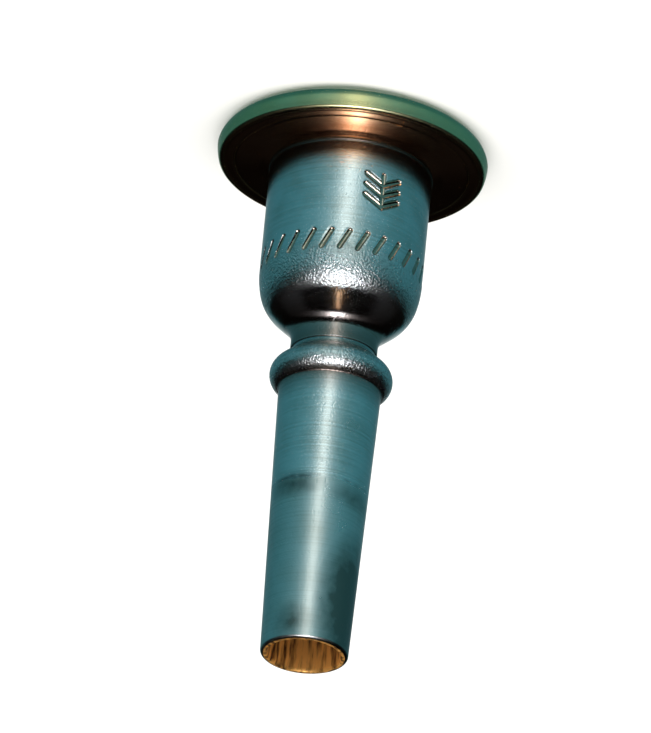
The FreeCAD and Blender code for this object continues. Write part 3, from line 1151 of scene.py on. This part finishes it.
@dataclass
class Shank(Piece):
    """The silvered shank: threaded spigot, bead, receiver taper and bare bore, in mm."""

    part: str = "shank"
    label: str = "shank_turning"
    slot: str = "silver_plate"
    finishes: tuple[Finish, ...] = (SilverPlate("Silver plate, worn", worn=True),
                                    BareBrass("Bare brass, reamed"))
    low_z: float = measured("shank", 0, "z")
    high_z: float = measured("shank", 1, "z")
    throat_r: float = 2.30
    pilot: tuple[float, float] = (3.75, 21.80)
    flare: tuple[float, float] = (4.26, 23.30)
    bead: tuple[float, float] = (5.196, 24.51)
    bead_end: tuple[float, float] = (5.271, 27.373)
    taper: tuple[float, float] = (5.095, 27.61)
    bead_bend: float = 1.60
    root_bend: float = 0.25
    end_r: float = 4.345
    lip: float = 0.32
    mouth_r: float = 3.72
    mouth_in: tuple[float, float] = (3.60, 0.40)
    backbore_z: float = 19.50
    edge: float = 0.10
    thread: ScrewLine = NECK_THREAD

    def build(self) -> Solid:
        """Turn the shank and weld its thread on."""
        edge, root, end = self.edge, self.thread.root, self.high_z
        obj = turned(self.label, [
            Corner(self.throat_r, self.low_z),
            Corner(root - edge, self.low_z),
            Corner(root, self.low_z + edge, rings=6),
            Corner(root, self.pilot[1]),
            Corner(self.pilot[0] - edge, self.pilot[1]),
            Corner(self.pilot[0], self.pilot[1] + edge, rings=2),
            Corner(self.pilot[0], self.flare[1]),
            Corner(*self.flare, self.bead_bend, Lean.RIGHT),
            Corner(*self.bead, self.bead_bend, Lean.LEFT),
            Corner(*self.bead_end, self.root_bend, Lean.RIGHT),
            Corner(*self.taper, rings=40),
            Corner(self.end_r, end - self.lip, self.lip, Lean.LEFT),
            Corner(self.end_r - self.lip, end, rings=2),
            Corner(self.mouth_r, end),
            Corner(self.mouth_in[0], end - self.mouth_in[1], rings=30),
            Corner(self.throat_r, self.backbore_z, rings=3),
        ])
        worked(obj, self.thread.ridge("shank_ridge"), Cut.ADD)
        return obj

    def second(self, place: Vector, facing: Vector) -> bool:
        """The bore and the end face are bare; the end's outer rounding is still plated."""
        inward = place.xy.dot(facing.xy) < 0 or place.z > self.high_z - NEAR
        within = place.xy.length < self.end_r - self.lip + NEAR
        return within and inward and place.z > self.low_z


@dataclass
class Seals:
    """The two rubber rings, which keep their CAD shape and get their rubber."""

    nodes: tuple[str, ...] = ("body_seal", "neck_seal")
    finish: Finish = NitrileRubber("Nitrile rubber, moulded")

    def dress(self) -> None:
        """Put the rubber on both rings."""
        for name in self.nodes:
            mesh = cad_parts[name].data
            mesh.materials.clear()
            mesh.materials.append(self.finish.material())
            LOG.info("%s keeps its CAD shape, in %s", name, self.finish.name)


@dataclass(frozen=True)
class Glow:
    """A soft patch of light in the room: brightest at its bearing, with wide tails."""

    bearing_deg: float              # from the -Y side towards +X
    half_width_deg: float           # of bearing, so a patch is narrower the higher it is
    strength: float
    upright: tuple[tuple[float, str], ...]      # share of the way up from below, and colour
    falloff: float = 1.2

    def shade(self, net: Net, bearing: Socket, height: Socket) -> Socket:
        """The patch's light in each direction.

        Args:
            net: The room's tree.
            bearing: The direction's bearing, in radians.
            height: How far up it looks, 0 straight down and 1 straight up.

        Returns:
            The light as a colour.
        """
        off = net.minus(bearing, math.radians(self.bearing_deg))
        narrow = 2.0 / math.radians(self.half_width_deg) ** 2
        apart = net.maths("MULTIPLY_ADD", net.maths("COSINE", off), -narrow, narrow + 1.0)
        tail = net.maths("POWER", apart, -self.falloff)
        return net.scaled(net.ramp(height, self.upright), net.times(tail, self.strength))


@dataclass
class Studio:
    """Table, camera, lamps and the room that the metal reflects."""

    target: Vector = field(default_factory=lambda: Vector((0, 0, 29.136 * MM)))
    distance: float = 1.463
    elevation_deg: float = 26.05
    roll_deg: float = 5.591
    lens: float = 728.0
    aim_right: float = -0.26 * MM
    aim_up: float = 4.08 * MM
    table_size: float = 12.0
    table_depth: float = 0.02
    lamp_bearings: tuple[tuple[str, float], ...] = (("soft_left", 70.0), ("soft_right", -75.0))
    lamp_rise_deg: float = 60.0
    lamp_distance: float = 1.6
    lamp_size: float = 1.2
    lamp_watts: float = 9.0
    plain: str = "#f7f7f5"          # the room as all but the metal sees it
    front_light: tuple[float, float] = (0.80, 0.25)     # walls' level, and more at the front
    walls: tuple[tuple[float, str], ...] = (
        (0.00, "#28697a"), (0.20, "#317684"), (0.40, "#347a86"), (0.500, "#347680"),
        (0.520, "#182a2c"), (0.550, "#0e0d0c"), (1.00, "#070606"))
    glows: tuple[Glow, ...] = (
        Glow(1.0, 12.0, 1.30, ((0.0, "#5a5a58"), (0.10, "#8a8a86"), (0.24, "#dedcd8"),
                               (0.49, "#e8e6e2"), (0.505, "#c8c6c2"), (0.53, "#000000"))),
        Glow(180.0, 13.0, 0.90, ((0.0, "#5a5a58"), (0.24, "#dedcd8"), (0.47, "#e8e6e2"),
                                 (0.50, "#000000")), 1.6),
        Glow(1.0, 34.0, 1.00, ((0.0, "#3c5154"), (0.24, "#4f6b6e"), (0.500, "#4f6b6e"),
                               (0.525, "#000000"))),
        Glow(1.0, 27.0, 11.0, ((0.70, "#000000"), (0.75, "#dfe4ec"), (0.855, "#dfe4ec"),
                               (0.895, "#000000")), 2.6),
        Glow(1.0, 8.0, 2.40, ((0.955, "#000000"), (0.965, "#e0b48c"), (0.985, "#e0b48c"),
                              (0.995, "#000000")), 2.4))

    def table(self) -> None:
        """A pale table under the rim's crest, which the metal doesn't reflect."""
        deselect_all()
        low = CAD_BOX[0].z
        bpy.ops.mesh.primitive_plane_add(size=self.table_size, location=(0, 0, low))
        top = bpy.context.object
        top.name = "table_top"
        edit_all()
        bpy.ops.mesh.extrude_region_move(TRANSFORM_OT_translate={
            "value": (0, 0, -self.table_depth)})
        bpy.ops.mesh.select_all(action="SELECT")
        bpy.ops.mesh.normals_make_consistent(inside=False)
        leave_edit()
        place_in_mesh()
        top.data.materials.append(PaleTable("White laminate").material())
        top.visible_glossy = False

    def camera(self) -> None:
        """A long lens from above, turned over so that the rim is uppermost."""
        tilt, roll = math.radians(self.elevation_deg), math.radians(self.roll_deg)
        back = Vector((0, -math.cos(tilt), math.sin(tilt)))
        side = Vector((-1, 0, 0))
        down = Vector((0, -math.sin(tilt), -math.cos(tilt)))
        right = side * math.cos(roll) + down * math.sin(roll)
        up = down * math.cos(roll) - side * math.sin(roll)
        eye = self.target + back * self.distance
        look = (self.target + right * self.aim_right + up * self.aim_up - eye).normalized()
        right = look.cross(up).normalized()
        up = right.cross(look)
        data = bpy.data.cameras.new("view")
        data.lens = self.lens
        data.sensor_width = 36.0
        data.clip_start, data.clip_end = 0.05, 60.0
        camera = bpy.data.objects.new("view", data)
        camera.matrix_world = (Matrix.Translation(eye)
                               @ Matrix((right, up, -look)).transposed().to_4x4())
        bpy.context.collection.objects.link(camera)
        bpy.context.scene.camera = camera

    def lamps(self) -> None:
        """Soft lamps that light the table and don't show in the metal."""
        rise = math.radians(self.lamp_rise_deg)
        for name, azimuth_deg in self.lamp_bearings:
            azimuth = math.radians(azimuth_deg)
            way = Vector((math.sin(azimuth) * math.cos(rise),
                          -math.cos(azimuth) * math.cos(rise), math.sin(rise)))
            data = bpy.data.lights.new(name, "AREA")
            data.shape = "DISK"
            data.size = self.lamp_size
            data.energy = self.lamp_watts
            lamp = bpy.data.objects.new(name, data)
            lamp.matrix_world = (Matrix.Translation(self.target + way * self.lamp_distance)
                                 @ way.to_track_quat("Z", "Y").to_matrix().to_4x4())
            bpy.context.collection.objects.link(lamp)
            lamp.visible_glossy = False

    def room(self) -> None:
        """What is round the table: pale to look at, and what the metal shows of it."""
        world = bpy.data.worlds.new("room")
        bpy.context.scene.world = world
        world.use_nodes = True
        world.cycles.sampling_method = "NONE"
        net = Net(world.node_tree)
        way = net.node("ShaderNodeTexCoord").outputs["Generated"]
        split = net.node("ShaderNodeSeparateXYZ", inputs={0: way})
        east, north, rise = (split.outputs[i] for i in range(3))
        height = net.maths("MULTIPLY_ADD", rise, 0.5, 0.5)
        level, gain = self.front_light
        front = net.maths("MULTIPLY_ADD", north, -gain, level)
        light = net.scaled(net.ramp(height, self.walls), front)
        bearing = net.maths("ARCTAN2", east, net.times(north, -1.0))
        for glow in self.glows:
            light = net.vectors("ADD", light, glow.shade(net, bearing, height))
        glossy = net.node("ShaderNodeLightPath").outputs["Is Glossy Ray"]
        back = net.node("ShaderNodeBackground", inputs={
            "Color": net.blend(glossy, self.plain, light), "Strength": 1.0})
        net.node("ShaderNodeOutputWorld", inputs={"Surface": back.outputs[0]})

    def build(self) -> None:
        """Set the table, the camera, the lamps and the room."""
        self.table()
        self.camera()
        self.lamps()
        self.room()
        bpy.context.scene.view_settings.view_transform = "Standard"
        LOG.info("studio is set")


def main() -> None:
    """Build the pieces in order, dress the seals, set the studio and note the sizes."""
    logging.basicConfig(level=logging.INFO, format="%(name)s: %(message)s")
    for piece in (ScrewRim(), CupBody(), Shank()):
        piece.make()
    Seals().dress()
    Studio().build()
    deselect_all()


if __name__ == "__main__":
    main()
